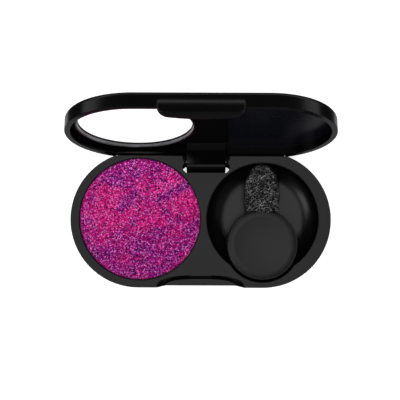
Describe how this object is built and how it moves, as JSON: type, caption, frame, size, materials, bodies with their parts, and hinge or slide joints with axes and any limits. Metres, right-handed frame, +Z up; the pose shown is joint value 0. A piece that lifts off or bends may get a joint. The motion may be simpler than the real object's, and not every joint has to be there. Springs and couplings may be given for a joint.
{
  "type": "eyeshadow palette",
  "caption": "Small round-ended makeup compact, lid open on a rear hinge: pressed powder pan, well with a sponge applicator, round mirror in the lid and a thumb tab.",
  "frame": {"origin": "centre of the base underside, on the surface the compact rests on; the centre is midway between the two round ends", "axes": "+X along the length, to the right with the pan on the left, +Y to the rear, where the hinge is, +Z up"},
  "size_m": [0.058, 0.041, 0.0326],
  "materials": {
    "base_plastic": "fine satin moulded plastic, near black",
    "cover_plastic": "fine matte moulded plastic, near black",
    "label_paper": "plain blank paper label",
    "pan_tin": "plain tinplate",
    "powder": "pressed powder with fine glitter, magenta with violet patches",
    "adhesive": "pale tape",
    "pin_steel": "drawn steel wire",
    "lid_plastic": "polished moulded plastic, black",
    "mirror": "bright mirror",
    "plate_plastic": "dull moulded sheet, black",
    "bezel_metal": "bright plated plastic ring",
    "knob_plastic": "satin moulded plastic, near black",
    "stem_plastic": "moulded plastic, black",
    "sponge_foam": "fine open-cell foam, black"
  },
  "bodies": {
    "base": {"base_body": "base_plastic", "base_bottom_cover": "cover_plastic", "underside_label": "label_paper", "eyeshadow_pan": "pan_tin", "eyeshadow_powder": "powder", "pan_adhesive": "adhesive", "hinge_pin": "pin_steel"},
    "lid": {"lid_shell": "lid_plastic", "mirror_plate": "plate_plastic", "mirror_disc": "mirror", "mirror_adhesive": "adhesive", "mirror_bezel": "bezel_metal"},
    "applicator": {"applicator_knob": "knob_plastic", "applicator_stem": "stem_plastic", "applicator_sponge": "sponge_foam"}
  },
  "joints": [
    {"name": "lid_hinge", "type": "hinge", "parent": "base", "child": "lid", "pos_m": [0.00118, 0.01286, 0.00519], "axis": [1, 0, 0], "range_deg": [0, 107.3]},
    {"name": "applicator_lift", "type": "slide", "parent": "base", "child": "applicator", "axis": [0, 0, 1], "range_m": [0, 0.03]}
  ]
}
